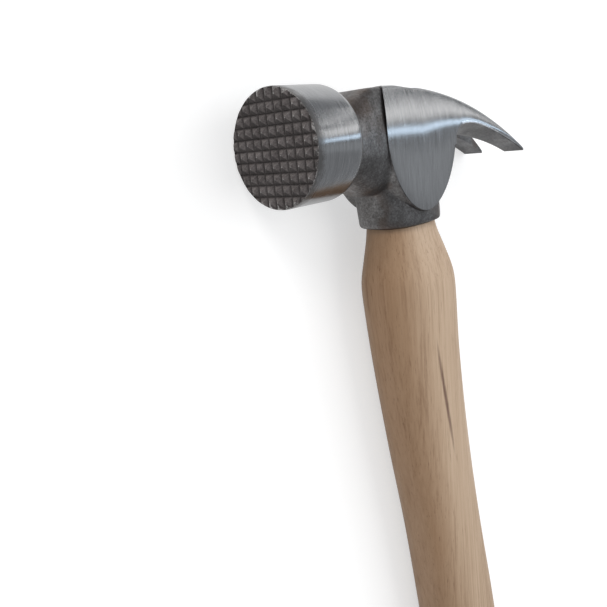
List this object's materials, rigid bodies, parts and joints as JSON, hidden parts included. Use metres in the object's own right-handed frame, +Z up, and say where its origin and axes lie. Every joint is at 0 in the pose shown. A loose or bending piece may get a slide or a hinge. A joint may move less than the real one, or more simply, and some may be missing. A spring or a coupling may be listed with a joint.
{
  "type": "tent stake hammer",
  "caption": "Hammer with a milled round striking face, flat cheeks and a curved split claw, on a curved oval wooden handle wedged into the eye.",
  "frame": {"origin": "middle of the box round the hammer, on the floor it lies on", "axes": "+X along the handle from head to butt, +Y from the striking face to the claw, +Z up out of the upper cheek"},
  "size_m": [0.4046, 0.137, 0.0387],
  "materials": {
    "hammer_head": "forged dark steel with ground bright cheeks, barrel and claw",
    "handle": "satin hickory",
    "wooden_wedge": "bare hardwood",
    "steel_wedge_front": "plain steel",
    "steel_wedge_rear": "plain steel"
  },
  "bodies": {
    "root": {"hammer_head": "hammer_head", "handle": "handle", "wooden_wedge": "wooden_wedge", "steel_wedge_front": "steel_wedge_front", "steel_wedge_rear": "steel_wedge_rear"}
  },
  "joints": []
}
